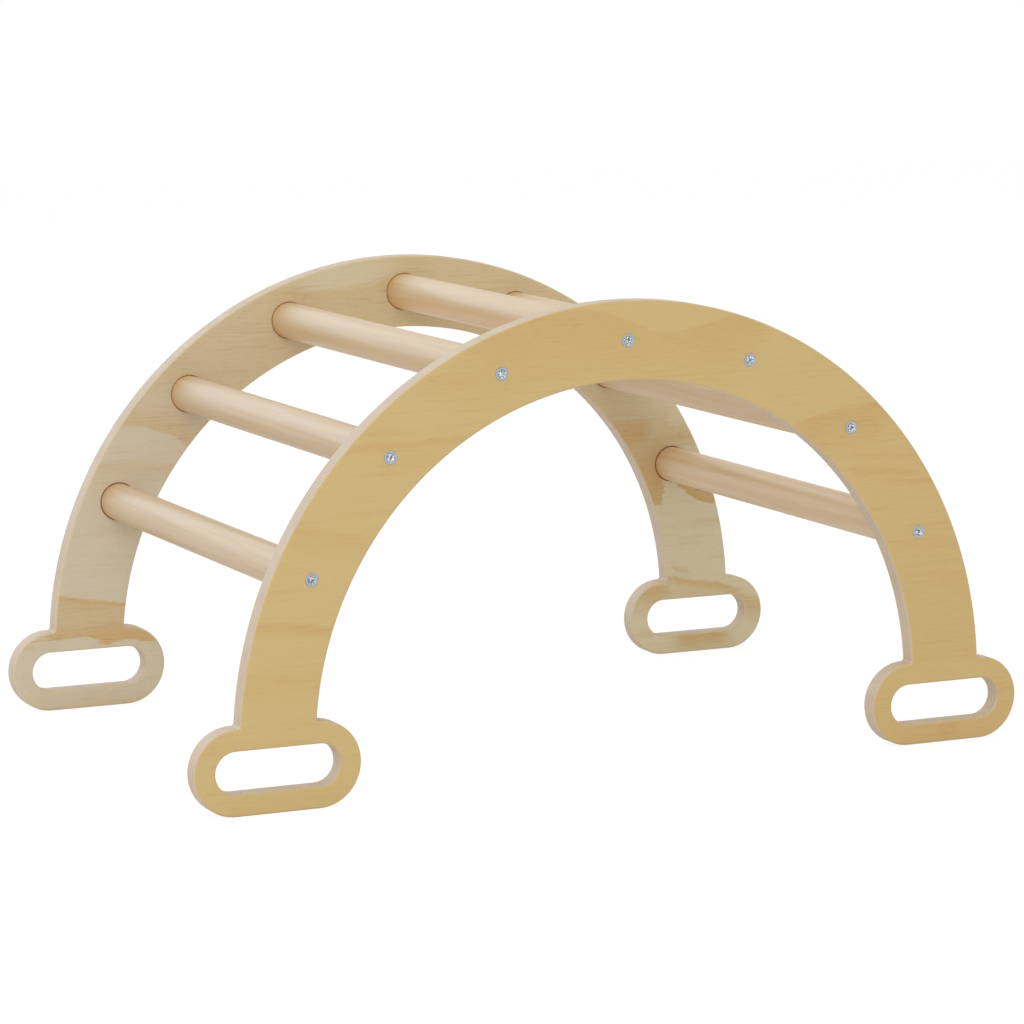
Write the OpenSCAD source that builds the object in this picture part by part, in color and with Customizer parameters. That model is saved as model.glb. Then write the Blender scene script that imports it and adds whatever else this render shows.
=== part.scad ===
// Wooden rocker arch for small children: two arched plywood sides, joined by round rungs.
// Each side stands on two oblong hand grips. Turned over, the arch rocks on its curved edges.
// Frame: millimetres, X along the arch, Y across it, Z up, origin on the floor under its middle.

/* [Arched sides] */
// Outer radius of the arch
arch_r = 366; // [320:1:420]
// Width of the arched band, from its outer to its inner edge
band_w = 70; // [60:1:90]
// Thickness of the plywood
panel_t = 18; // [15:1:21]
// Width over the outer faces of the two sides
overall_w = 500; // [400:1:650]
// Radius that all the plywood edges are rounded over with
edge_r = 2; // [1:0.5:3]

/* [Hand grips] */
// Height of one grip, which is also the width of its half-round ends
grip_h = 76; // [70:1:90]
// Flat shoulder of a grip on either side of its leg, before the half-round end
grip_shoulder = 3.5; // [3:0.5:30]
// Width of the rim that is left around the hand slot
grip_rim = 19.5; // [16:0.5:24]
// How far the middle of a grip lies under the middle of the arch
grip_drop = 19; // [15:1:24]
// Radius of the inside corners where a leg meets its grip
corner_r = 3; // [2:0.5:6]

/* [Rungs] */
// Number of rungs
rung_count = 7; // [3:1:8]
// Diameter of a rung
rung_d = 35; // [28:1:42]
// Angle round the arch from the first rung to the last
rung_span = 129.4; // [90:0.1:136]
// Depth of the round socket that a rung's end sits in
socket_depth = 8; // [5:0.5:9]
// Gap round a rung's end in its socket
socket_gap = 0.5; // [0.2:0.1:1]
// Chamfer on the ends of a rung
rung_chamfer = 1; // [0.5:0.1:2]

/* [Bolts] */
// Thread diameter of the bolts
bolt_d = 6; // [5:0.5:7]
// Length of a bolt, its countersunk head included
bolt_l = 30; // [24:1:34]
// Diameter of the flat bolt head
head_d = 12; // [10:0.5:14]
// How far the flat head stands proud of the plywood
head_proud = 0.3; // [0:0.1:0.6]
// Thickness of the head's cylindrical rim
head_rim = 0.8; // [0.5:0.1:1.2]
// Chamfer round the head's face
head_edge = 0.3; // [0.1:0.1:0.4]
// Diameter of the dished recess in the head, at its mouth
dish_d = 8; // [7:0.1:9]
// Depth of the dished recess
dish_depth = 0.8; // [0.4:0.1:1]
// Width across the flats of the hexagon socket
hex_w = 4; // [3:0.5:5]
// Depth of the hexagon socket, from the bottom of the dish
hex_depth = 2.2; // [1.5:0.1:2.6]
// Distance from one thread ridge to the next
thread_pitch = 1; // [0.8:0.1:1.5]
// Height of a thread ridge
thread_h = 0.55; // [0.3:0.05:0.7]
// Gap round the bolt in the plywood's hole, and round its head in the countersink
bolt_gap = 0.25; // [0.1:0.05:0.5]

/* [Threaded inserts] */
// Outer diameter of the insert in a rung's end, over its wood thread
insert_d = 10; // [9:0.5:12]
// Length of an insert
insert_l = 15; // [12:1:18]
// How far an insert is sunk below the rung's end
insert_sunk = 0.5; // [0:0.1:1]
// Distance from one wood thread ridge to the next
insert_pitch = 3; // [2:0.5:4]
// Height of a wood thread ridge
insert_ridge = 0.7; // [0.4:0.1:1]
// Gap between an insert and the wood around it, and between the bolt and the insert
insert_gap = 0.05; // [0.05:0.05:0.1]
// Free depth of the rung's hole past the tip of the bolt
tip_room = 2; // [1:0.5:5]

/* [Hidden] */
$fn = 96;
eps = 0.01;

// The arched sides, drawn about the middle of the arch, with the inner face at 0.
mid_r = arch_r - band_w / 2;             // radius through the middle of the band
band_inner_r = arch_r - band_w;
arch_z = grip_drop + grip_h / 2;         // height of the arch's middle over the floor
panel_inner_y = overall_w / 2 - panel_t; // where the inner faces lie, either side of the middle
grip_top = grip_h / 2 - grip_drop;       // top of the grips over the middle of the arch
grip_run = band_w + 2 * grip_shoulder;   // straight length of a grip, between its round ends
fillet_r = min(corner_r, grip_shoulder); // an inside corner ends on the grip's flat shoulder
corner_bite = 0.03;                      // how far its arc runs into the edges, and it lies in from the faces
rim_r = (grip_h - grip_rim) / 2;         // radius through the middle of a grip's rim
// The band's ends are buried in the middle of the grips' upper rims.
leg_end_angle = asin((grip_top - grip_rim / 2) / mid_r);

// The rungs and what holds them.
rung_end_y = panel_inner_y + socket_depth;
rung_l = 2 * rung_end_y;
rung_pitch = rung_span / (rung_count - 1);
head_cone_h = (head_d - bolt_d) / 2;     // a countersunk cone of 90 degrees
head_top_y = overall_w / 2 + head_proud;
bolt_tip_y = head_top_y - bolt_l;
insert_end_y = rung_end_y - insert_sunk;
pilot_d = insert_d + 2 * insert_gap;
tip_hole_d = bolt_d + 2 * bolt_gap;

RUNGS = [for (i = [1:rung_count]) str("rung_", i)];

// Angle of rung i round the arch, from the +X side, with rung 1 at the -X end.
function rung_angle(i) = 90 + rung_span / 2 - (i - 1) * rung_pitch;

// Puts what is drawn at the origin on the axis of rung i.
module at_rung(i)
    translate([mid_r * cos(rung_angle(i)), 0, arch_z + mid_r * sin(rung_angle(i))])
        children();

// Stands up what is drawn lying down round the Z axis, so that its +Z points to -Y.
module stand() rotate([90, 0, 0]) children();

// Both ends of a rung: draws its children for the front side, and mirrored for the back.
module both_sides() {
    children();
    mirror([0, 1, 0]) children();
}

// Section of a plywood bar of width w, centred on X, with its edges rounded over.
module bar_section(w) {
    translate([-w / 2 + edge_r, 0]) square([w - 2 * edge_r, panel_t]);
    translate([-w / 2, edge_r]) square([w, panel_t - 2 * edge_r]);
    for (x = [-1, 1], y = [edge_r, panel_t - edge_r])
        translate([x * (w / 2 - edge_r), y]) circle(edge_r);
}

// Plywood bar bent round the Z axis.
module bent_bar(r, w, from, to)
    rotate([0, 0, from])
        rotate_extrude(angle = to - from) translate([r, 0]) bar_section(w);

// Straight plywood bar along X, centred on the origin.
module straight_bar(l, w)
    translate([-l / 2, 0, 0])
        rotate([90, 0, 90]) linear_extrude(l) bar_section(w);

// Oblong hand grip, an unbroken rim round its slot, centred on the origin.
module grip() {
    for (s = [-1, 1]) {
        translate([s * grip_run / 2, 0, 0]) bent_bar(rim_r, grip_rim, -90 * s, 180 - 90 * s);
        translate([0, s * rim_r, 0]) straight_bar(grip_run, grip_rim);
    }
}

// What a router takes out of an inside corner: a bore whose mouths are rounded over.
module corner_cutter() {
    bore_r = fillet_r + corner_bite;
    mouth_r = edge_r + corner_bite;
    rotate_extrude() difference() {
        translate([0, -eps]) square([bore_r + mouth_r, panel_t + 2 * eps]);
        translate([bore_r, mouth_r]) square([2 * mouth_r, panel_t - 2 * mouth_r]);
        for (y = [mouth_r, panel_t - mouth_r])
            translate([bore_r + mouth_r, y]) circle(mouth_r);
    }
}

// Wood in the inside corner between a leg and its grip, on one side of the leg.
// leg_r is the leg edge's radius, and out is 1 on its outer side and -1 on its inner side.
module corner_fill(leg_r, out) {
    centre_r = leg_r + out * fillet_r;
    centre_y = grip_top + fillet_r;
    centre_x = sqrt(centre_r * centre_r - centre_y * centre_y);
    touch = [centre_x, centre_y] * leg_r / centre_r;
    root = touch * (1 - out * 2 * edge_r / leg_r);
    base_y = grip_top - 2 * edge_r;
    difference() {
        translate([0, 0, corner_bite]) linear_extrude(panel_t - 2 * corner_bite)
            polygon([[centre_x, centre_y], touch, root, [root[0], base_y], [centre_x, base_y]]);
        translate([centre_x, centre_y, 0]) corner_cutter();
    }
}

// Seat of one bolt in the panel: the hole, and the countersink for the flat head.
module bolt_seat() {
    cylinder(h = panel_t, d = bolt_d + 2 * bolt_gap);
    translate([0, 0, panel_t - head_rim + head_proud - head_cone_h])
        cylinder(h = head_cone_h, d1 = bolt_d + 2 * bolt_gap, d2 = head_d + 2 * bolt_gap);
    translate([0, 0, panel_t - head_rim + head_proud - eps])
        cylinder(h = head_rim + eps, d = head_d + 2 * bolt_gap);
}

// One arched side lying down, inner face at 0, about the middle of the arch.
module side_panel() {
    difference() {
        union() {
            bent_bar(mid_r, band_w, leg_end_angle, 180 - leg_end_angle);
            for (s = [-1, 1])
                translate([s * mid_r, -grip_drop, 0]) grip();
            for (m = [0, 1]) mirror([m, 0, 0]) {
                corner_fill(arch_r, 1);
                corner_fill(band_inner_r, -1);
            }
        }
        for (i = [1:rung_count])
            rotate([0, 0, rung_angle(i)]) translate([mid_r, 0, 0]) {
                translate([0, 0, -eps]) cylinder(h = socket_depth + eps, d = rung_d + 2 * socket_gap);
                bolt_seat();
            }
    }
}

module front_side_panel()
    color([0.80, 0.69, 0.48])
        translate([0, -panel_inner_y, arch_z]) stand() side_panel();

module back_side_panel()
    color([0.76, 0.69, 0.55])
        mirror([0, 1, 0]) translate([0, -panel_inner_y, arch_z]) stand() side_panel();

// Round rung along Y, with chamfered ends, each with a stepped hole for insert and bolt.
module rung(i) {
    insert_hole = insert_l + insert_sunk;
    bolt_hole = rung_end_y - bolt_tip_y + tip_room;
    color([0.87, 0.78, 0.66])
        at_rung(i) stand() difference() {
            union() {
                cylinder(h = rung_l - 2 * rung_chamfer, d = rung_d, center = true);
                for (m = [0, 1]) mirror([0, 0, m])
                    translate([0, 0, rung_end_y - rung_chamfer])
                        cylinder(h = rung_chamfer, d1 = rung_d, d2 = rung_d - 2 * rung_chamfer);
            }
            for (m = [0, 1]) mirror([0, 0, m]) {
                translate([0, 0, rung_end_y - insert_hole])
                    cylinder(h = insert_hole + eps, d = pilot_d);
                translate([0, 0, rung_end_y - bolt_hole])
                    cylinder(h = bolt_hole, d = tip_hole_d);
            }
        }
}

// Outline points of count ridges from radius r down to r - h, upwards from y.
function ridges(r, h, pitch, count, y) = [
    for (k = [0:count - 1], p = [[r - h, 0], [r, 0.5]])
        [p[0], y + (k + p[1]) * pitch]
];

// Countersunk bolt with its axis on Z, its flat head on top and the head's face at 0.
module bolt() {
    shank_r = bolt_d / 2;
    neck_y = -head_rim - head_cone_h;
    thread_count = floor((bolt_l + neck_y - thread_pitch) / thread_pitch);
    thread_end = -bolt_l + thread_pitch / 2;
    difference() {
        rotate_extrude() polygon(concat(
            [[0, -bolt_l], [shank_r - 2 * thread_h, -bolt_l]],
            ridges(shank_r, thread_h, thread_pitch, thread_count, thread_end),
            [
                [shank_r - thread_h, thread_end + thread_count * thread_pitch],
                [shank_r, neck_y],
                [head_d / 2, -head_rim],
                [head_d / 2, -head_edge],
                [head_d / 2 - head_edge, 0],
                [0, 0]
            ]
        ));
        translate([0, 0, -dish_depth])
            cylinder(h = dish_depth + eps, d1 = hex_w / cos(30), d2 = dish_d);
        translate([0, 0, -dish_depth - hex_depth])
            cylinder(h = hex_depth + eps, d = hex_w / cos(30), $fn = 6);
    }
}

// The two bolts of rung i, one through each side.
module rung_bolts(i)
    color([0.72, 0.75, 0.78])
        at_rung(i) both_sides()
            translate([0, -head_top_y, 0]) stand() bolt();

// Threaded insert with its axis on Z and its outer end at 0.
module insert() {
    insert_r = insert_d / 2;
    ridge_count = floor(insert_l / insert_pitch) - 1;
    rotate_extrude() difference() {
        polygon(concat(
            [[0, -insert_l], [insert_r - insert_ridge, -insert_l]],
            ridges(insert_r, insert_ridge, insert_pitch, ridge_count, -insert_l + insert_pitch / 2),
            [[insert_r - insert_ridge, -insert_pitch / 2], [insert_r, 0], [0, 0]]
        ));
        translate([-eps, -insert_l - eps])
            square([bolt_d / 2 + insert_gap + eps, insert_l + 2 * eps]);
    }
}

// The two inserts in the ends of rung i.
module rung_inserts(i)
    color([0.66, 0.64, 0.60])
        at_rung(i) both_sides()
            translate([0, -insert_end_y, 0]) stand() insert();

front_side_panel();
back_side_panel();
for (i = [1:rung_count]) {
    rung(i);
    rung_bolts(i);
    rung_inserts(i);
}
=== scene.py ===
"""Wooden rocker arch: two arched plywood sides with hand grips, seven round rungs, bolts."""
from collections import namedtuple
from math import atan2, cos, degrees, hypot, pi, radians, sin, sqrt

import bmesh
import bpy
from mathutils import Matrix, Vector


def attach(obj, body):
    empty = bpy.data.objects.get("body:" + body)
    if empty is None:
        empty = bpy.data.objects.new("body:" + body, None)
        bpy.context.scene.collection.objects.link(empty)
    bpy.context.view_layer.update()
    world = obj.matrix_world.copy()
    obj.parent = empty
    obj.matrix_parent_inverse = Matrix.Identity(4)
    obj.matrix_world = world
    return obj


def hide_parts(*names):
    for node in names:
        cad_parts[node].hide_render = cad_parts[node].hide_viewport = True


# ---- The frame and the camera ----
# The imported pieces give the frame: metres, +Z up, the origin on the floor under the arch.
# The camera stands front left and a little above the arch, with a long lens.
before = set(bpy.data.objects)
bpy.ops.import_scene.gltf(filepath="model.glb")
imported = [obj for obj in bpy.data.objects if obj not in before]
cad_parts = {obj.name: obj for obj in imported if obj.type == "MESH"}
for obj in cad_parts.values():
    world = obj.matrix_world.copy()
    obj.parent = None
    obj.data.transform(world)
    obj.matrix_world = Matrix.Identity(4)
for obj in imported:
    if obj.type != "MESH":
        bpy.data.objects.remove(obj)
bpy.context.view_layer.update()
scene = bpy.context.scene
BODY = "root"
MM = 0.001

CAMERA_PLACE = (-1.5085, -3.1689, 0.7534)
CAMERA_TURN = radians(-25.568)
CAMERA_DOWN = radians(8.942)
CAMERA_ROLL = radians(0.056)
SENSOR_W = 36
LENS = 133.26

camera = bpy.data.objects.new("camera", bpy.data.cameras.new("camera"))
camera.data.sensor_width = SENSOR_W
camera.data.lens = LENS
camera.matrix_world = (
    Matrix.Translation(CAMERA_PLACE)
    @ Matrix.Rotation(CAMERA_TURN, 4, "Z")
    @ Matrix.Rotation(pi / 2 - CAMERA_DOWN, 4, "X")
    @ Matrix.Rotation(CAMERA_ROLL, 4, "Z")
)
scene.collection.objects.link(camera)
scene.camera = camera
scene.view_settings.view_transform = "Standard"

# ---- The arched sides ----
# Two boards of 18 mm plywood, each an arch and its two hand grips cut in one by a router.
# All edges are rounded over, the outer faces have a yellow varnish, and the inner faces
# have a blind socket for each rung with a bolt hole in its floor.
PANEL_T = 18
PANEL_INNER_Y = 232
ARCH_R = 366
BAND_W = 70
BAND_INNER_R = ARCH_R - BAND_W
MID_R = ARCH_R - BAND_W / 2
ARCH_Z = 57
EDGE_R = 2
CORNER_R = 3

GRIP_END_R = 38
GRIP_RUN = 77
GRIP_Z = 38
SLOT_R = 18.5

RUNGS = 7
SPREAD = 129.4
RUNG_ANGLES = [90 + SPREAD / 2 - step * SPREAD / (RUNGS - 1) for step in range(RUNGS)]
SOCKET_R = 18
SOCKET_DEPTH = 8
SOCKET_MOUTH = 0.4
HOLE_R = 3.25
SEAT_R = 6.08
SEAT_FLAT = 0.5

VENEER_T = 0.8
CORE_PLIES = 7
PLY_T = (PANEL_T - 2 * VENEER_T) / CORE_PLIES
FACE_SKIN = 0.12

ARCH_STEPS = 88
GRIP_STEPS = 48
SLOT_STEPS = 32
CORNER_STEPS = 8
ROUNDING_STEPS = 5
BORE_STEPS = 72


def on_arch(angle):
    """Where the axis of a rung runs, across and up, in mm."""
    return MID_R * cos(radians(angle)), ARCH_Z + MID_R * sin(radians(angle))


def arc(x, z, r, start, stop, steps, hollow=False):
    """Points of an arc with their outward normals; a hollow one has its wood outside."""
    side = -1 if hollow else 1
    turns = [radians(start + (stop - start) * k / steps) for k in range(steps + 1)]
    return [(x + r * cos(a), z + r * sin(a), side * cos(a), side * sin(a)) for a in turns]


def panel_outline():
    """The whole outline of a side, in mm: its +X half, and the same half mirrored. The inner
    end of the grip stops a degree early, because the fillet of the corner starts there."""
    fillet_z = 2 * GRIP_Z + CORNER_R
    rise = fillet_z - ARCH_Z
    outer_x = sqrt((ARCH_R + CORNER_R) ** 2 - rise**2)
    inner_x = sqrt((BAND_INNER_R - CORNER_R) ** 2 - rise**2)
    outer_touch = degrees(atan2(rise, outer_x))
    inner_touch = degrees(atan2(rise, inner_x))
    half = (
        arc(0, ARCH_Z, ARCH_R, 90, outer_touch, ARCH_STEPS)
        + arc(outer_x, fillet_z, CORNER_R, 180 + outer_touch, 270, CORNER_STEPS, hollow=True)[1:]
        + arc(MID_R + GRIP_RUN / 2, GRIP_Z, GRIP_END_R, 90, -90, GRIP_STEPS)
        + arc(MID_R - GRIP_RUN / 2, GRIP_Z, GRIP_END_R, 270, 91, GRIP_STEPS)
        + arc(inner_x, fillet_z, CORNER_R, -90, inner_touch, CORNER_STEPS, hollow=True)
        + arc(0, ARCH_Z, BAND_INNER_R, inner_touch, 90, ARCH_STEPS, hollow=True)[1:]
    )
    mirrored = [(-x, z, -nx, nz) for x, z, nx, nz in reversed(half[1:-1])]
    return half + mirrored


def slot_outline(x):
    """The outline of the hand slot in the grip at x."""
    right = arc(x + GRIP_RUN / 2, GRIP_Z, SLOT_R, 90, -90, SLOT_STEPS, hollow=True)
    left = arc(x - GRIP_RUN / 2, GRIP_Z, SLOT_R, 270, 90, SLOT_STEPS, hollow=True)
    return right + left


def edge_rings():
    """Rings of a rounded edge from the inner to the outer face: inset, depth, normal."""
    turns = [pi / 2 * k / ROUNDING_STEPS for k in range(ROUNDING_STEPS + 1)]
    inner = [(EDGE_R * (1 - sin(a)), EDGE_R * (1 - cos(a)), sin(a), -cos(a)) for a in turns]
    outer = [(inset, PANEL_T - depth, out, -lean) for inset, depth, out, lean in reversed(inner)]
    return inner + outer


def side_panel(name, side):
    """One arched side as a closed mesh; side is -1 for the front and 1 for the back."""
    bm = bmesh.new()
    rounded, bored = {}, {}

    def ring(points, depth):
        """Adds one closed ring of (x, z) points at a depth from the inner face."""
        y = side * (PANEL_INNER_Y + depth) * MM
        return [bm.verts.new((x * MM, y, z * MM)) for x, z in points]

    def skin(rings, material=0):
        """Joins rings with four-sided faces."""
        for low, high in zip(rings, rings[1:]):
            count = len(low)
            for k in range(count):
                m = (k + 1) % count
                bm.faces.new((low[k], low[m], high[m], high[k])).material_index = material

    def edges_of(ring_verts):
        """The edges round a closed ring."""
        pairs = zip(ring_verts, ring_verts[1:] + ring_verts[:1])
        return [bm.edges.get(pair) or bm.edges.new(pair) for pair in pairs]

    inner_rims, outer_rims = [], []
    for outline in (panel_outline(), slot_outline(-MID_R), slot_outline(MID_R)):
        rings = []
        for inset, depth, out, lean in edge_rings():
            verts = ring([(x - nx * inset, z - nz * inset) for x, z, nx, nz in outline], depth)
            for vert, (_, _, nx, nz) in zip(verts, outline):
                rounded[vert] = Vector((nx * out, side * lean, nz * out))
            rings.append(verts)
        skin(rings)
        inner_rims.append(rings[0])
        outer_rims.append(rings[-1])

    seat = [
        (SOCKET_R + SOCKET_MOUTH, 0),
        (SOCKET_R, SOCKET_MOUTH),
        (SOCKET_R, SOCKET_DEPTH),
        (HOLE_R, SOCKET_DEPTH),
        (HOLE_R, PANEL_T - SEAT_FLAT - (SEAT_R - HOLE_R)),
        (SEAT_R, PANEL_T - SEAT_FLAT),
        (SEAT_R, PANEL_T),
    ]
    for angle in RUNG_ANGLES:
        x, z = on_arch(angle)
        rings = []
        for r, depth in seat:
            circle = arc(x, z, r, 0, 360, BORE_STEPS)[:-1]
            verts = ring([(px, pz) for px, pz, _, _ in circle], depth)
            for vert, (_, _, nx, nz) in zip(verts, circle):
                bored[vert] = Vector((nx, 0, nz))
            for edge in edges_of(verts):
                edge.smooth = False
            rings.append(verts)
        skin(rings[:5], material=1)
        skin(rings[4:])
        inner_rims.append(rings[0])
        outer_rims.append(rings[-1])

    for rims in (inner_rims, outer_rims):
        edges = [edge for rim in rims for edge in edges_of(rim)]
        bmesh.ops.triangle_fill(bm, edges=edges, use_beauty=True)
    bmesh.ops.recalc_face_normals(bm, faces=bm.faces)

    def corner_normal(face, vert):
        """True normal at a face's corner: of the rounded edge, or of a bored hole's wall."""
        if vert in rounded:
            return rounded[vert]
        around = face.normal - bored[vert] * face.normal.dot(bored[vert])
        turn = bored[vert] * sqrt(max(0, 1 - face.normal.y**2))
        turn *= 1 if face.normal.dot(bored[vert]) > 0 else -1
        return turn + Vector((0, around.y, 0))

    normals = []
    for face in bm.faces:
        face.smooth = True
        normals += [corner_normal(face, loop.vert) for loop in face.loops]
    mesh = bpy.data.meshes.new(name)
    bm.to_mesh(mesh)
    bm.free()
    mesh.normals_split_custom_set(normals)
    panel = bpy.data.objects.new(name, mesh)
    scene.collection.objects.link(panel)
    return panel


class Value:
    """A number from a socket. Arithmetic on it adds Math nodes to its tree."""

    def __init__(self, tree, socket):
        self.tree = tree
        self.socket = socket

    def __add__(self, other):
        return self.tree.math("ADD", self, other)

    def __sub__(self, other):
        return self.tree.math("SUBTRACT", self, other)

    def __rsub__(self, other):
        return self.tree.math("SUBTRACT", other, self)

    def __mul__(self, other):
        return self.tree.math("MULTIPLY", self, other)

    def __truediv__(self, other):
        return self.tree.math("DIVIDE", self, other)

    def __rtruediv__(self, other):
        return self.tree.math("DIVIDE", other, self)

    def __mod__(self, other):
        return self.tree.math("FLOORED_MODULO", self, other)

    def __lt__(self, other):
        return self.tree.math("LESS_THAN", self, other)

    def __gt__(self, other):
        return self.tree.math("GREATER_THAN", self, other)

    def __abs__(self):
        return self.tree.math("ABSOLUTE", self)

    def __neg__(self):
        return self.tree.math("MULTIPLY", self, -1)

    __radd__ = __add__
    __rmul__ = __mul__


class Tree:
    """Adds nodes to a material, the world or a Geometry Nodes tree, and links them."""

    def __init__(self, tree):
        self.tree = tree

    def node(self, kind, settings=None, inputs=None, out=0):
        """A new node: its settings first, then the values or links of its sockets."""
        node = self.tree.nodes.new(kind)
        for name, setting in (settings or {}).items():
            setattr(node, name, setting)
        for key, value in (inputs or {}).items():
            self.feed(self.find(node.inputs, key), value)
        return Value(self, self.find(node.outputs, out)) if node.outputs else None

    def feed(self, socket, value):
        """Links a value to a socket, or sets the socket to a constant."""
        if isinstance(value, Value):
            self.tree.links.new(value.socket, socket)
        else:
            socket.default_value = value

    @staticmethod
    def find(sockets, key):
        """A socket by its place, or by its name among those that are in use."""
        if isinstance(key, int):
            return sockets[key]
        return next(s for s in sockets if s.enabled and key in (s.name, s.identifier))

    def math(self, operation, *values):
        return self.node("ShaderNodeMath", {"operation": operation}, dict(enumerate(values)))

    def vector(self, x, y, z):
        return self.node("ShaderNodeCombineXYZ", None, {"X": x, "Y": y, "Z": z})

    def split(self, vector):
        """The X, Y and Z of a vector."""
        first = self.node("ShaderNodeSeparateXYZ", None, {"Vector": vector})
        return [Value(self, output) for output in first.socket.node.outputs]

    def place(self):
        """Where a point lies on its piece: X, Y and Z in mm."""
        return [axis / MM for axis in self.split(self.node("ShaderNodeTexCoord", out="Object"))]

    def smooth(self, value, low, high):
        """0 at low, 1 at high, and a soft step between them."""
        return self.node(
            "ShaderNodeMapRange",
            {"interpolation_type": "SMOOTHSTEP"},
            {"Value": value, "From Min": low, "From Max": high},
        )

    def noise(self, x, y, z, detail=2.0):
        """Noise about 0.5 whose cells are one unit of the given coordinates."""
        point = self.vector(x, y, z)
        return self.node(
            "ShaderNodeTexNoise", None, {"Vector": point, "Scale": 1.0, "Detail": detail}
        )

    def mix(self, low, high, factor):
        """Colour between low and high."""
        return self.node(
            "ShaderNodeMix",
            {"data_type": "RGBA"},
            {"Factor": factor, "A": low, "B": high},
            out="Result",
        )

    def bump(self, strength, relief, height):
        """A normal that follows height, with a relief given in mm."""
        return self.node(
            "ShaderNodeBump",
            None,
            {"Strength": strength, "Distance": relief * MM, "Height": height},
        )


def paint(red, green, blue):
    """The linear colour of an sRGB colour that is given from 0 to 255."""
    linear = [((c / 255 + 0.055) / 1.055) ** 2.4 for c in (red, green, blue)]
    return (*linear, 1.0)


def new_material(name):
    """An empty material and its tree."""
    material = bpy.data.materials.new(name)
    material.use_nodes = True
    material.node_tree.nodes.clear()
    return material, Tree(material.node_tree)


def show(tree, surface):
    """Links the finished surface to the material's output."""
    tree.node("ShaderNodeOutputMaterial", None, {"Surface": surface})


def dress(tree, look):
    """Ends a material in one shader with this look."""
    show(tree, tree.node("ShaderNodeBsdfPrincipled", None, look))


Stain = namedtuple("Stain", "x z half slope bend border fade strength")


def stained(tree, x, z, stain):
    """How much of a heartwood stain covers a point. One long border of it is a shallow
    curve as sharp as border says, and from there it fades, down if fade is negative."""
    side = 1 if stain.fade > 0 else -1
    from_middle = x - stain.x
    curve = stain.z + from_middle * stain.slope + from_middle * from_middle * stain.bend
    across = (z - curve) * side
    along = tree.smooth(abs(from_middle), stain.half, stain.half * 0.4)
    near_border = tree.smooth(across, 0, stain.border)
    return along * near_border * tree.smooth(across, abs(stain.fade), stain.border)


def veneer(tree, x, z, seed, pale, heart, streak, stains):
    """Colour and grain of a face veneer whose grain runs along X."""
    x_wavy = x + (tree.noise(x / 12, seed + 5, z / 4) - 0.5) * 12
    z_wavy = (
        z
        + (tree.noise(x / 34, seed, z / 60) - 0.5) * 7
        + (tree.noise(x / 8, seed + 3, z / 9) - 0.5) * 3
    )
    brown = tree.smooth(tree.noise(x / 190, seed + 7, z / 13, detail=1), 0.5, 0.8) * 0.3
    for stain in stains:
        cover = stained(tree, x_wavy, z_wavy, stain) * abs(stain.strength)
        if stain.strength > 0:
            brown = tree.math("MAXIMUM", brown, cover)
        else:
            brown = brown * (1 - cover)
    lines = tree.noise(x / 70, seed + 11, z / 2.6, detail=3)
    dashes = tree.noise(x / 20, seed + 19, z / 1.5, detail=1)
    fine = tree.noise(x / 16, seed + 13, z / 1.1, detail=2)
    pores = tree.noise(x / 4, seed + 17, z / 0.5, detail=1)
    colour = tree.mix(pale, heart, brown)
    colour = tree.mix(colour, streak, tree.smooth(lines, 0.5, 0.78) * (brown * 0.35 + 0.24))
    colour = tree.mix(colour, streak, tree.smooth(fine, 0.52, 0.8) * (brown * 0.5 + 0.24))
    colour = tree.mix(colour, streak, tree.smooth(dashes, 0.62, 0.76) * (brown * 1.1 + 0.04))
    colour = tree.mix(colour, streak, tree.smooth(pores, 0.5, 0.8) * 0.24)
    return colour, fine + pores


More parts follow.
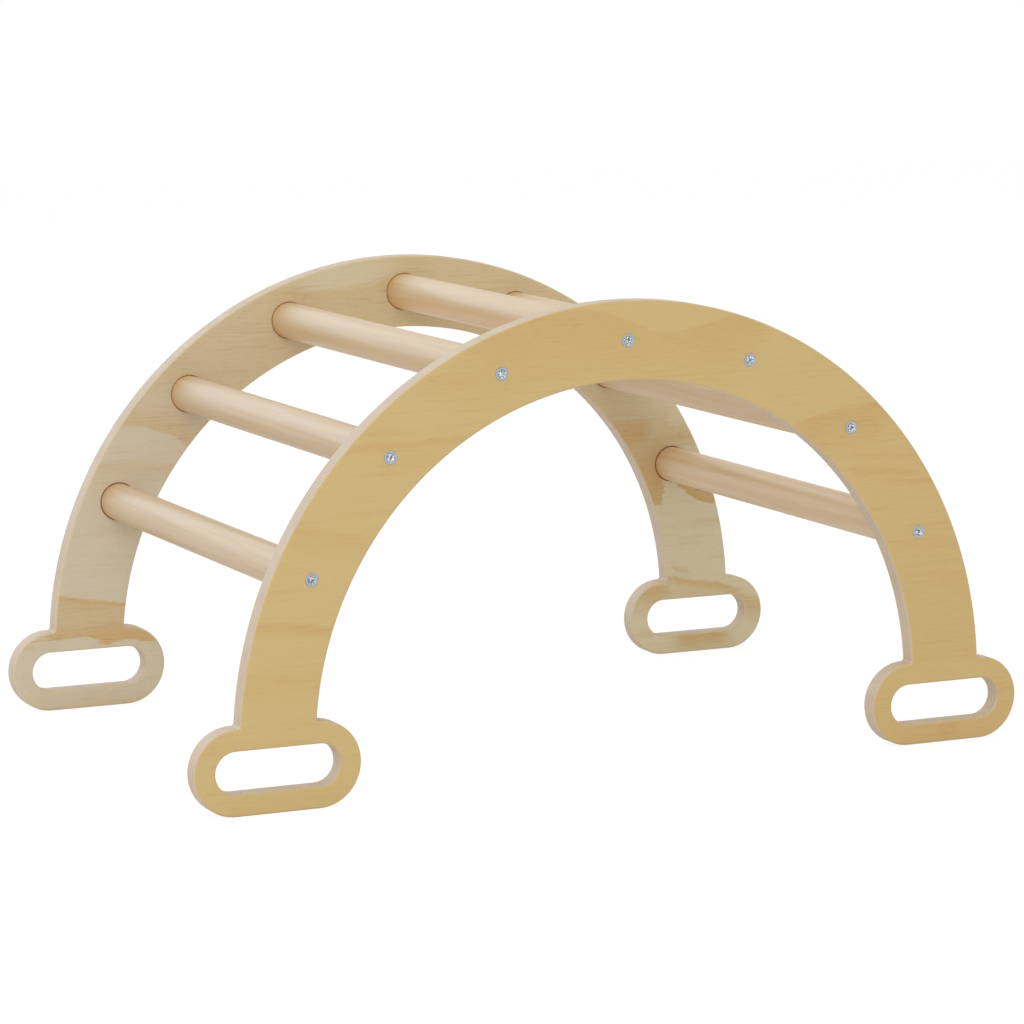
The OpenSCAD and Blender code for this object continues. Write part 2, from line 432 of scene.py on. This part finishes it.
def plywood(name, seed, outer_stains, inner_stains):
    """Plywood whose layers lie across Y: a varnished outer face, a paler inner face, and
    crossed plies with glue lines on every cut edge."""
    material, tree = new_material(name)
    x, y, z = tree.place()
    depth = abs(y) - PANEL_INNER_Y
    outer, outer_grain = veneer(
        tree,
        x,
        z,
        seed,
        pale=paint(214, 186, 124),
        heart=paint(208, 172, 108),
        streak=paint(198, 157, 98),
        stains=outer_stains,
    )
    # Painted light: the pale of the inner faces is painted lighter and yellower towards +X.
    sapwood = tree.mix(paint(214, 200, 172), paint(220, 205, 168), tree.smooth(x, -250, -60))
    inner, inner_grain = veneer(
        tree,
        x,
        z,
        seed + 50,
        pale=sapwood,
        heart=paint(207, 171, 110),
        streak=paint(184, 153, 110),
        stains=inner_stains,
    )
    is_outer = depth > PANEL_T / 2
    face = tree.mix(inner, outer, is_outer)

    layer = (depth - VENEER_T + (tree.noise(x / 30, 0, z / 30) - 0.5) * 0.3) / PLY_T
    crossed = tree.math("FLOOR", layer) % 2
    in_layer = layer % 1
    glue = tree.smooth(abs(in_layer - 0.5), 0.44, 0.49)
    fibres = tree.noise(x / 6, y / 0.28, z / 6, detail=2)
    specks = tree.noise(x / 1.5, y / 1.1, z / 1.5, detail=1)
    clear_cut = tree.smooth(tree.noise(x / 28, seed, z / 28, detail=1), 0.35, 0.65)
    edge = tree.mix(paint(216, 197, 171), paint(203, 182, 153), crossed * (clear_cut * 0.6 + 0.4))
    edge = tree.mix(edge, paint(184, 160, 129), tree.smooth(fibres, 0.5, 0.8) * 0.5)
    edge = tree.mix(edge, paint(188, 158, 130), tree.smooth(specks, 0.52, 0.7) * 0.35)
    edge = tree.mix(edge, paint(150, 122, 90), glue * (clear_cut * 0.4 + 0.1))
    skin_depth = tree.math("MINIMUM", depth, PANEL_T - depth)
    veneer_edge = tree.mix(paint(217, 196, 155), paint(213, 184, 128), is_outer)
    edge = tree.mix(veneer_edge, edge, tree.smooth(skin_depth, VENEER_T - 0.1, VENEER_T + 0.1))
    on_face = skin_depth < FACE_SKIN
    face_grain = outer_grain * is_outer + inner_grain * (1 - is_outer)
    grain = face_grain * on_face + fibres * (1 - on_face)
    dress(
        tree,
        {
            "Base Color": tree.mix(edge, face, on_face),
            "Roughness": 0.62 - is_outer * on_face * 0.12,
            "Normal": tree.bump(0.25, 0.05, grain),
        },
    )
    return material


def bored_wood():
    """The walls of sockets and bolt holes: drill burn and painted gap shade, the end ones most."""
    material, tree = new_material("bored_wood")
    x, y, z = tree.place()
    rings = tree.noise(x / 9, y / 0.4, z / 9, detail=2)
    fresh = tree.mix(paint(248, 206, 136), paint(224, 174, 104), rings)
    # Partly drill burn, partly painted shade: the dark orange that the end sockets get.
    scorched_and_shaded = tree.mix(paint(216, 114, 10), paint(160, 74, 4), rings)
    dress(
        tree,
        {
            "Base Color": tree.mix(fresh, scorched_and_shaded, tree.smooth(abs(x), 245, 285)),
            "Roughness": 0.8,
            "Normal": tree.bump(0.3, 0.1, rings),
        },
    )
    return material


# Each stain: middle and height of its border, half its length, slope and bend of the border,
# how soft the border is, how far it fades, and how strong it is. A minus sign before the
# fade turns it down, and one before the strength makes a pale patch of it.
FRONT_OUTER_STAINS = [
    # The first stain is partly heartwood and partly painted shade that darkens the +X end broadly.
    Stain(420, -50, 340, 0, 0, 1, 900, 0.37),
    Stain(-322, 165, 62, -0.07, -0.001, 5, -17, 0.75),
    Stain(-320, 128, 80, 0, 0, 12, -40, 0.3),
    Stain(-300, 244, 70, -0.16, 0, 4, -34, 0.42),
    Stain(-215, 314, 95, 0.02, 0, 5, -14, 0.65),
    Stain(-205, 306, 50, -0.02, 0, 10, -30, 0.3),
    Stain(-120, 374, 110, 0.02, 0, 10, -30, 0.42),
    Stain(-60, 420, 130, 0, -0.0034, 5, -95, 0.62),
    Stain(40, 397, 90, -0.04, 0, 7, -70, 0.5),
    Stain(95, 406, 60, 0.22, 0, 4, -80, 0.68),
    Stain(212, 318, 75, 0.1, -0.004, 3, -70, 0.78),
    Stain(246, 322, 30, 0.3, 0, 3, -60, 0.78),
    Stain(262, 276, 60, -0.03, 0, 6, -12, 0.62),
    Stain(262, 262, 55, -0.05, 0, 5, -14, 0.75),
    Stain(290, 252, 45, -0.08, 0, 5, -14, 0.7),
    Stain(318, 193, 75, 0.01, 0, 2, -26, 0.5),
    Stain(345, 165, 60, -0.1, 0, 8, -60, 0.5),
    Stain(330, 80, 90, 0, 0, 10, -56, -0.6),
    Stain(310, 18, 56, 0.04, 0, 3, -26, 0.5),
    Stain(334, 18, 22, 0.04, 0, 3, -26, 0.85),
    Stain(398, 50, 22, 0.3, 0, 4, -14, 0.6),
]
BACK_INNER_STAINS = [
    Stain(0, 285, 500, 0, 0, 25, 900, 0.33),
    Stain(-62, 393, 110, 0.1, 0.0025, 3, -45, 0.5),
    Stain(-62, 394, 75, 0.1, 0.0025, 3, 60, -0.9),
    Stain(-283, 268, 110, 0, -0.0072, 3, 46, 0.5),
    Stain(-328, 107, 80, -0.19, 0.0015, 4, -13, 0.9),
    Stain(-328, 105, 90, -0.19, 0.0015, 4, -90, 0.58),
    Stain(-330, -4, 100, 0, 0, 2, 40, 0.25),
    Stain(-325, 58, 130, 0, 0, 3, 54, 0.96),
    Stain(-392, 90, 26, 0, 0, 2, -60, -0.93),
    Stain(-360, 70, 45, 0, -0.001, 2, -60, -0.9),
    Stain(-337, 71, 40, 0, -0.022, 2, -60, -0.9),
    Stain(-294, 64, 70, 0, -0.009, 2, -60, -0.9),
    Stain(-316, 60, 9, 0, 0.03, 3, 14, 0.9),
    Stain(238, 257, 58, 0.05, 0, 22, -80, 0.88),
    Stain(236, 225, 66, 0, 0, 20, 90, 0.36),
    Stain(268, 155, 46, 0, 0, 2, 150, 0.95),
    Stain(289, 170, 60, 12, -0.2, 30, -700, -0.95),
    Stain(312, 214, 44, 0, 0, 10, 36, 0.6),
    Stain(344, 153, 60, -0.2, 0.012, 2, 40, 1.0),
    Stain(312, 84, 14, -0.3, 0, 2, 12, 0.4),
    Stain(338, 75, 62, -0.22, 0, 4, -17, 0.75),
    Stain(335, 68, 80, -0.06, 0, 6, -16, 0.3),
    Stain(268, 76, 46, 0, 0, 6, -42, 0.75),
    Stain(338, 20, 44, 0, 0, 3, -26, 0.85),
    Stain(394, 62, 34, -0.4, 0, 14, -46, 0.6),
]


def mirrored(stains):
    """The same stains for a board that was cut turned round."""
    return [stain._replace(x=-stain.x, slope=-stain.slope) for stain in stains]


drilled = bored_wood()
front_side = side_panel("front_arched_side", -1)
front_side.data.materials.append(
    plywood("front_plywood", 0, FRONT_OUTER_STAINS, mirrored(BACK_INNER_STAINS))
)
front_side.data.materials.append(drilled)
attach(front_side, BODY)
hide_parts("front_side_panel")

back_side = side_panel("back_arched_side", 1)
back_side.data.materials.append(
    plywood("back_plywood", 200, mirrored(FRONT_OUTER_STAINS), BACK_INNER_STAINS)
)
back_side.data.materials.append(drilled)
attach(back_side, BODY)
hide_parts("back_side_panel")

# ---- The rungs ----
# Seven rungs of 35 mm round wood, sanded and oiled. Their chamfered ends stand in the sockets
# and have a stepped hole for an insert and the tip of a bolt.
RUNG_R = 17.5
RUNG_L = 480
RUNG_CHAMFER = 1
RUNG_STEPS = 96
INSERT_HOLE_R = 5.05
INSERT_HOLE_DEPTH = 15.5
TIP_HOLE_DEPTH = 21.7

# From the first rung to the last: how light its wood is, how strong a warm orange is painted
# on its lower side as shade, and how dark its part in a socket is painted, as shade of the gap.
RUNG_TONES = (0.965, 0.97, 0.98, 1.0, 1.0, 1.0, 1.03)
RUNG_LOWER_SHADE = (0.1, 0.15, 0.5, 0.9, 0.4, 0.3, 0.1)
RUNG_GAP_SHADE = (0.6, 0, 0, 0.1, 0.5, 0.6, 1.0)

# In any turned shape, points closer than this are one, and a sharper edge than this is kept.
MERGE_DISTANCE = 0.005
CREASE = radians(30)


def new_group(name, inputs):
    """An empty Geometry Nodes tree with named inputs, and those inputs as values."""
    group = bpy.data.node_groups.new(name, "GeometryNodeTree")
    group.interface.new_socket("Geometry", in_out="OUTPUT", socket_type="NodeSocketGeometry")
    for label, kind in inputs.items():
        group.interface.new_socket(label, in_out="INPUT", socket_type="NodeSocket" + kind)
    tree = Tree(group)
    first = tree.node("NodeGroupInput")
    sockets = first.socket.node.outputs
    return group, tree, {label: Value(tree, sockets[label]) for label in inputs}


def pick(tree, row, values):
    """The value that belongs to a row number."""
    node = tree.node("GeometryNodeIndexSwitch", {"data_type": "FLOAT"}).socket.node
    while len(node.index_switch_items) < len(values):
        node.index_switch_items.new()
    for socket, value in zip(node.inputs, [row, *values]):
        tree.feed(socket, value)
    return Value(tree, node.outputs[0])


def turned(tree, steps, rows, shape):
    """A closed shape turned round Z. shape(row, angle) gives its radius and its height."""
    grid = tree.node(
        "GeometryNodeMeshGrid",
        None,
        {
            "Size X": float(steps),
            "Size Y": rows - 1.0,
            "Vertices X": steps + 1,
            "Vertices Y": rows,
        },
    )
    x, y, _ = tree.split(tree.node("GeometryNodeInputPosition"))
    row = tree.math("ROUND", y + (rows - 1) / 2)
    angle = (x + steps / 2) * (2 * pi / steps)
    radius, height = shape(row, angle)
    place = tree.vector(
        radius * tree.math("COSINE", angle), radius * tree.math("SINE", angle), height
    )
    solid = tree.node("GeometryNodeSetPosition", None, {"Geometry": grid, "Position": place})
    solid = tree.node(
        "GeometryNodeMergeByDistance", None, {"Geometry": solid, "Distance": MERGE_DISTANCE * MM}
    )
    solid = tree.node(
        "GeometryNodeSetShadeSmooth", {"domain": "FACE"}, {"Geometry": solid, "Shade Smooth": True}
    )
    crease = tree.node("GeometryNodeInputMeshEdgeAngle") > CREASE
    return tree.node(
        "GeometryNodeSetShadeSmooth",
        {"domain": "EDGE"},
        {"Geometry": solid, "Selection": crease, "Shade Smooth": False},
    )


def finish_group(tree, geometry, material):
    """Ends a tree: real geometry, in its material."""
    real = tree.node("GeometryNodeRealizeInstances", None, {"Geometry": geometry})
    done = tree.node("GeometryNodeSetMaterial", None, {"Geometry": real, "Material": material})
    tree.node("NodeGroupOutput", None, {"Geometry": done})


def grown(name, group, sizes):
    """The plain mesh that a tree makes from these sizes, as an object at the origin."""
    piece = bpy.data.objects.new(name, bpy.data.meshes.new(name))
    scene.collection.objects.link(piece)
    modifier = piece.modifiers.new("made", "NODES")
    modifier.node_group = group
    for item in group.interface.items_tree:
        if item.item_type == "SOCKET" and item.in_out == "INPUT":
            modifier[item.identifier] = sizes[item.name]
    seen = piece.evaluated_get(bpy.context.evaluated_depsgraph_get())
    mesh = bpy.data.meshes.new_from_object(seen)
    mesh.name = name
    piece.modifiers.clear()
    piece.data = mesh
    return piece


def rung_group():
    """Tree of one rung: turned round Z, laid along Y and carried to its place."""
    group, tree, size = new_group(
        "turned_rung",
        {
            "Radius": "Float",
            "Length": "Float",
            "Chamfer": "Float",
            "Insert Hole Radius": "Float",
            "Insert Hole Depth": "Float",
            "Tip Hole Radius": "Float",
            "Tip Hole Depth": "Float",
            "Across": "Float",
            "Up": "Float",
            "Material": "Material",
        },
    )
    radius, end = size["Radius"], size["Length"] / 2
    half = [
        (0.0, end - size["Tip Hole Depth"]),
        (size["Tip Hole Radius"], end - size["Tip Hole Depth"]),
        (size["Tip Hole Radius"], end - size["Insert Hole Depth"]),
        (size["Insert Hole Radius"], end - size["Insert Hole Depth"]),
        (size["Insert Hole Radius"], end),
        (radius - size["Chamfer"], end),
        (radius, end - size["Chamfer"]),
    ]
    middle = [(radius, end * share) for share in (-0.75, -0.5, -0.25, 0.0, 0.25, 0.5, 0.75)]
    rows = [(r, -h) for r, h in half] + middle + list(reversed(half))

    def shape(row, angle):
        """The radius and height of the row, the same all round."""
        return pick(tree, row, [r for r, _ in rows]), pick(tree, row, [h for _, h in rows])

    rod = turned(tree, RUNG_STEPS, len(rows), shape)
    rod = tree.node(
        "GeometryNodeTransform",
        None,
        {
            "Geometry": rod,
            "Rotation": (pi / 2, 0, 0),
            "Translation": tree.vector(size["Across"], 0.0, size["Up"]),
        },
    )
    finish_group(tree, rod, size["Material"])
    return group


def round_wood(number, up):
    """Pale pinkish wood, grain along Y, gloss of oil, painted shade below and at the sockets."""
    tone, lower_shade, gap_shade = (row[number - 1] for row in (RUNG_TONES, RUNG_LOWER_SHADE, RUNG_GAP_SHADE))
    material, tree = new_material(f"round_wood_{number}")
    x, y, z = tree.place()
    drift = (tree.noise(x / 60, y / 160, z / 60, detail=1) - 0.5) * 9
    rings = tree.noise((x + drift) / 5, y / 260, (z - drift) / 5, detail=2)
    fine = tree.noise((x + drift) / 0.9, y / 70, (z - drift) / 0.9, detail=2)
    pores = tree.noise(x / 0.35, y / 6, z / 0.35, detail=1)
    sapwood = paint(216 * tone, 190 * tone, 153 * tone)
    ringwood = paint(209 * tone, 179 * tone, 136 * tone)
    colour = tree.mix(sapwood, ringwood, tree.smooth(rings, 0.35, 0.7))
    # Painted shade: the lower side of the rung is painted a warmer orange.
    colour = tree.mix(colour, paint(222, 184, 130), tree.smooth(up - z, -4, 8) * lower_shade)
    colour = tree.mix(colour, paint(198, 163, 120), tree.smooth(fine, 0.55, 0.8) * 0.25)
    colour = tree.mix(colour, paint(178, 143, 104), tree.smooth(pores, 0.6, 0.85) * 0.12)
    # Painted shade: a darker orange grows over the last 36 mm before each socket.
    socket_shade = tree.smooth(abs(y), PANEL_INNER_Y - 36, PANEL_INNER_Y) * rings
    colour = tree.mix(colour, paint(206, 168, 110), socket_shade)
    # Painted shade: the part inside a socket is painted dark orange, as the shade of the gap round
    # it.
    in_socket = tree.smooth(abs(y), PANEL_INNER_Y - 0.5, PANEL_INNER_Y + 0.5)
    colour = tree.mix(colour, paint(150, 72, 8), in_socket * gap_shade)
    dress(
        tree,
        {
            "Base Color": colour,
            "Roughness": 0.37 + fine * 0.12,
            "Specular IOR Level": 0.6,
            "Normal": tree.bump(0.2, 0.04, fine + pores),
        },
    )
    return material


rung_tree = rung_group()
for number, angle in enumerate(RUNG_ANGLES, 1):
    across, up = on_arch(angle)
    rung = grown(
        f"turned_rung_{number}",
        rung_tree,
        {
            "Radius": RUNG_R * MM,
            "Length": RUNG_L * MM,
            "Chamfer": RUNG_CHAMFER * MM,
            "Insert Hole Radius": INSERT_HOLE_R * MM,
            "Insert Hole Depth": INSERT_HOLE_DEPTH * MM,
            "Tip Hole Radius": HOLE_R * MM,
            "Tip Hole Depth": TIP_HOLE_DEPTH * MM,
            "Across": across * MM,
            "Up": up * MM,
            "Material": round_wood(number, up),
        },
    )
    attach(rung, BODY)
    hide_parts(f"rung_{number}")

# ---- The threaded inserts ----
# A cast zinc insert is screwed into each end of every rung, where it can't be seen. They
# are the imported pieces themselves, in a dull grey metal with a cast skin.


def cast_zinc():
    """Dull zinc alloy with a slightly mottled cast skin."""
    material, tree = new_material("cast_zinc")
    x, y, z = tree.place()
    skin = tree.noise(x / 0.8, y / 0.8, z / 0.8, detail=3)
    dress(
        tree,
        {
            "Base Color": tree.mix(paint(150, 148, 144), paint(188, 186, 180), skin),
            "Metallic": 1.0,
            "Roughness": 0.4 + skin * 0.25,
            "Normal": tree.bump(0.3, 0.05, skin),
        },
    )
    return material


insert_material = cast_zinc()
for number in range(1, RUNGS + 1):
    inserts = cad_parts[f"rung_{number}_inserts"]
    inserts.data.materials.clear()
    inserts.data.materials.append(insert_material)

# ---- The bolts ----
# Zinc plated M6 bolts, 30 mm long. The flat head sits in a countersink of the plywood and
# has a dished recess with a 4 mm hexagon socket. One goes through each side into a rung.
BOLT_L = 30
BOLT_R = 3
HEAD_R = 6
HEAD_RIM = 0.8
HEAD_EDGE = 0.3
HEAD_TOP_Y = 250.3
DISH_R = 4
DISH_DEPTH = 0.8
HEX_W = 4
HEX_DEPTH = 2.2
THREAD_PITCH = 1.0
THREAD_H = 0.55
THREADS = 25
BOLT_STEPS = 48


def bolt_group():
    """Tree of one rung's two bolts: one is turned, then set at either side."""
    group, tree, size = new_group(
        "bolt_pair",
        {
            "Length": "Float",
            "Shank Radius": "Float",
            "Head Radius": "Float",
            "Head Rim": "Float",
            "Head Edge": "Float",
            "Head Place": "Float",
            "Dish Radius": "Float",
            "Dish Depth": "Float",
            "Hexagon Width": "Float",
            "Hexagon Depth": "Float",
            "Thread Pitch": "Float",
            "Thread Height": "Float",
            "Across": "Float",
            "Up": "Float",
            "Seed": "Int",
            "Material": "Material",
        },
    )
    shank, head, rim, edge = (
        size["Shank Radius"], size["Head Radius"], size["Head Rim"], size["Head Edge"],
    )
    root = shank - size["Thread Height"]
    hexagon = size["Hexagon Width"] / 2
    corner = hexagon / cos(pi / 6)
    dish, floor = size["Dish Radius"], -size["Dish Depth"]
    tip = -size["Length"]
    start = tip + size["Thread Pitch"] / 2
    # Radius and height of each row of points. A bolt starts with the middle and rim of its tip.
    below = [(0.0, tip), (root * 0.8, tip)]
    # After the thread come its end, the cone and the rounded rim of the head, the dish, and
    # the hexagon's chamfer, walls and floor.
    above = [
        (root, start + size["Thread Pitch"] * THREADS),
        (shank, -rim - (head - shank)),
        (head, -rim),
        (head, -edge),
        (head - edge * 0.3, -edge * 0.3),
        (head - edge, 0.0),
        (dish + edge * 0.4, 0.0),
        (dish, -edge * 0.3),
        (dish * 0.85, floor),
        (corner * 1.15, floor),
        (hexagon, floor - edge),
        (hexagon, floor - size["Hexagon Depth"]),
        (0.0, floor - size["Hexagon Depth"] - edge),
    ]
    walls = (10, 11)
    ends = below + above
    six_sided = [0.0] * len(below) + [float(k in walls) for k in range(len(above))]
    rows = len(ends) + 2 * THREADS

    def shape(row, angle):
        """The tip, then ridge and root in turn for the thread, then the head."""
        thread = row - len(below)
        past = row - (len(below) + 2 * THREADS)
        threaded = (thread > -0.5) * (past < -0.5)
        index = tree.math("ROUND", row - (past > -0.5) * (2 * THREADS))
        index = tree.math("MINIMUM", index, len(ends) - 1.0)
        ridge = tree.math("ROUND", thread) % 2
        sector = angle % (pi / 3)
        to_flat = 1 / tree.math("COSINE", sector - pi / 6)
        radius = pick(tree, index, [r for r, _ in ends])
        radius = radius * (1 + pick(tree, index, six_sided) * (to_flat - 1))
        height = pick(tree, index, [h for _, h in ends])
        radius = radius + threaded * (root + ridge * size["Thread Height"] - radius)
        along = start + thread * (size["Thread Pitch"] / 2)
        height = height + threaded * (along - height)
        return radius, height

    bolt = turned(tree, BOLT_STEPS, rows, shape)
    ends = tree.node(
        "GeometryNodeMeshLine",
        {"mode": "END_POINTS"},
        {
            "Count": 2,
            "Start Location": tree.vector(size["Across"], -size["Head Place"], size["Up"]),
            "Offset": tree.vector(size["Across"], size["Head Place"], size["Up"]),
        },
    )
    index = tree.node("GeometryNodeInputIndex")
    facing = tree.vector((1 - index * 2) * (pi / 2), 0.0, 0.0)
    pair = tree.node(
        "GeometryNodeInstanceOnPoints",
        None,
        {"Points": ends, "Instance": bolt, "Rotation": facing},
    )
    screwed = tree.node(
        "FunctionNodeRandomValue",
        {"data_type": "FLOAT"},
        {"Min": 0.0, "Max": pi / 3, "ID": index, "Seed": size["Seed"]},
        out="Value",
    )
    pair = tree.node(
        "GeometryNodeRotateInstances",
        None,
        {"Instances": pair, "Rotation": tree.vector(0.0, 0.0, screwed), "Local Space": True},
    )
    finish_group(tree, pair, size["Material"])
    return group


def zinc_plate():
    """Bluish bright zinc plating, mottled, with painted glints and painted shade in the recess."""
    material, tree = new_material("zinc_plate")
    x, y, z = tree.place()
    cloud = tree.noise(x / 1.6, y / 1.6, z / 1.6, detail=3)
    speck = tree.noise(x / 0.25, y / 0.25, z / 0.25, detail=1)
    colour = tree.mix(paint(150, 160, 168), paint(188, 195, 200), cloud)
    sunk = HEAD_TOP_Y - abs(y)
    recess = tree.smooth(sunk, 0.2, 0.8)
    spots = tree.noise(x / 1.1, y / 1.1, z / 1.1, detail=1)
    # Painted highlights: near-white glints in the recess.
    colour = tree.mix(colour, paint(252, 253, 255), recess * tree.smooth(spots, 0.54, 0.6))
    # Painted shade: dark spots in the recess and darker hexagon walls.
    walls = tree.smooth(sunk, 0.9, 1.5) * tree.smooth(sunk, 3.0, 2.7)
    painted_recess_shade = recess * tree.smooth(spots, 0.5, 0.4) * 0.8 + walls * 0.3
    dress(
        tree,
        {
            "Base Color": tree.mix(colour, paint(70, 76, 82), painted_recess_shade),
            "Metallic": 1.0,
            "Roughness": 0.16 + cloud * 0.18,
            "Normal": tree.bump(0.3, 0.02, speck),
        },
    )
    return material


bolt_tree = bolt_group()
bolt_material = zinc_plate()
for number, angle in enumerate(RUNG_ANGLES, 1):
    across, up = on_arch(angle)
    bolts = grown(
        f"bolt_pair_{number}",
        bolt_tree,
        {
            "Length": BOLT_L * MM,
            "Shank Radius": BOLT_R * MM,
            "Head Radius": HEAD_R * MM,
            "Head Rim": HEAD_RIM * MM,
            "Head Edge": HEAD_EDGE * MM,
            "Head Place": HEAD_TOP_Y * MM,
            "Dish Radius": DISH_R * MM,
            "Dish Depth": DISH_DEPTH * MM,
            "Hexagon Width": HEX_W * MM,
            "Hexagon Depth": HEX_DEPTH * MM,
            "Thread Pitch": THREAD_PITCH * MM,
            "Thread Height": THREAD_H * MM,
            "Across": across * MM,
            "Up": up * MM,
            "Seed": number,
            "Material": bolt_material,
        },
    )
    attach(bolts, BODY)
    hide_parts(f"rung_{number}_bolts")

# ---- The studio ----
# A wide pale floor and a white world. What the camera, gloss and glass see of both is
# white, apart from a faint shadow. Large lamps on all sides but the right shade softly.
FLOOR_SIZE = 14.0
FLOOR_Z = -0.2 * MM
FLOOR_GREY = (0.8, 0.8, 0.8, 1)
FLOOR_GLOW = 0.89
SHADOW_GREY = (0.16, 0.16, 0.16, 1)
AMBIENT = 0.66
LAMP_AIM = (0, 0, 0.2)


def seen_directly(tree):
    """1 for what the camera, a glossy surface or glass sees, 0 for light on a surface."""
    path = tree.node("ShaderNodeLightPath", out="Is Camera Ray")
    rays = path.socket.node.outputs
    glossy = Value(tree, rays["Is Glossy Ray"])
    clear = Value(tree, rays["Is Transmission Ray"])
    return tree.math("MINIMUM", path + glossy + clear, 1.0)


floor_material, tree = new_material("studio_floor")
pale = tree.node("ShaderNodeBsdfDiffuse", None, {"Color": FLOOR_GREY})
shadow_only = tree.node("ShaderNodeBsdfDiffuse", None, {"Color": SHADOW_GREY})
glow = tree.node("ShaderNodeEmission", None, {"Strength": FLOOR_GLOW})
white = tree.node("ShaderNodeAddShader", None, {0: shadow_only, 1: glow})
show(tree, tree.node("ShaderNodeMixShader", None, {0: seen_directly(tree), 1: pale, 2: white}))

floor_mesh = bpy.data.meshes.new("floor")
half = FLOOR_SIZE / 2
corners = [(-half, -half), (half, -half), (half, half), (-half, half)]
floor_mesh.from_pydata([(x, y, FLOOR_Z) for x, y in corners], [], [(0, 1, 2, 3)])
floor_mesh.materials.append(floor_material)
floor = bpy.data.objects.new("floor", floor_mesh)
scene.collection.objects.link(floor)

scene.world = bpy.data.worlds.new("studio")
scene.world.use_nodes = True
scene.world.node_tree.nodes.clear()
tree = Tree(scene.world.node_tree)
strength = AMBIENT + seen_directly(tree) * (1 - AMBIENT)
sky = tree.node("ShaderNodeBackground", None, {"Color": (1, 1, 1, 1), "Strength": strength})
tree.node("ShaderNodeOutputWorld", None, {"Surface": sky})


def lamp(name, place, size, power, colour=(1, 1, 1)):
    """A square soft lamp that points at the middle of the arch."""
    light = bpy.data.lights.new(name, "AREA")
    light.color = colour
    light.size = size
    light.energy = power
    obj = bpy.data.objects.new(name, light)
    obj.location = place
    toward = [a - p for a, p in zip(LAMP_AIM, place)]
    obj.rotation_euler = (
        atan2(hypot(toward[0], toward[1]), -toward[2]),
        0,
        atan2(toward[1], toward[0]) - pi / 2,
    )
    scene.collection.objects.link(obj)


lamp("front_lamp", (-2.2, -4.4, 2.5), 3.0, 64.5)
lamp("top_lamp", (-0.6, 0.6, 3.2), 3.0, 13)
lamp("left_lamp", (-3.3, 0.3, 1.5), 2.4, 14, (0.6, 0.68, 0.95))
lamp("back_lamp", (-1.4, 3.0, 2.2), 3.0, 26, (0.45, 0.7, 1.0))
lamp("backdrop_lamp", (-0.3, 3.4, 1.1), 2.6, 11, (0.82, 0.86, 1.0))
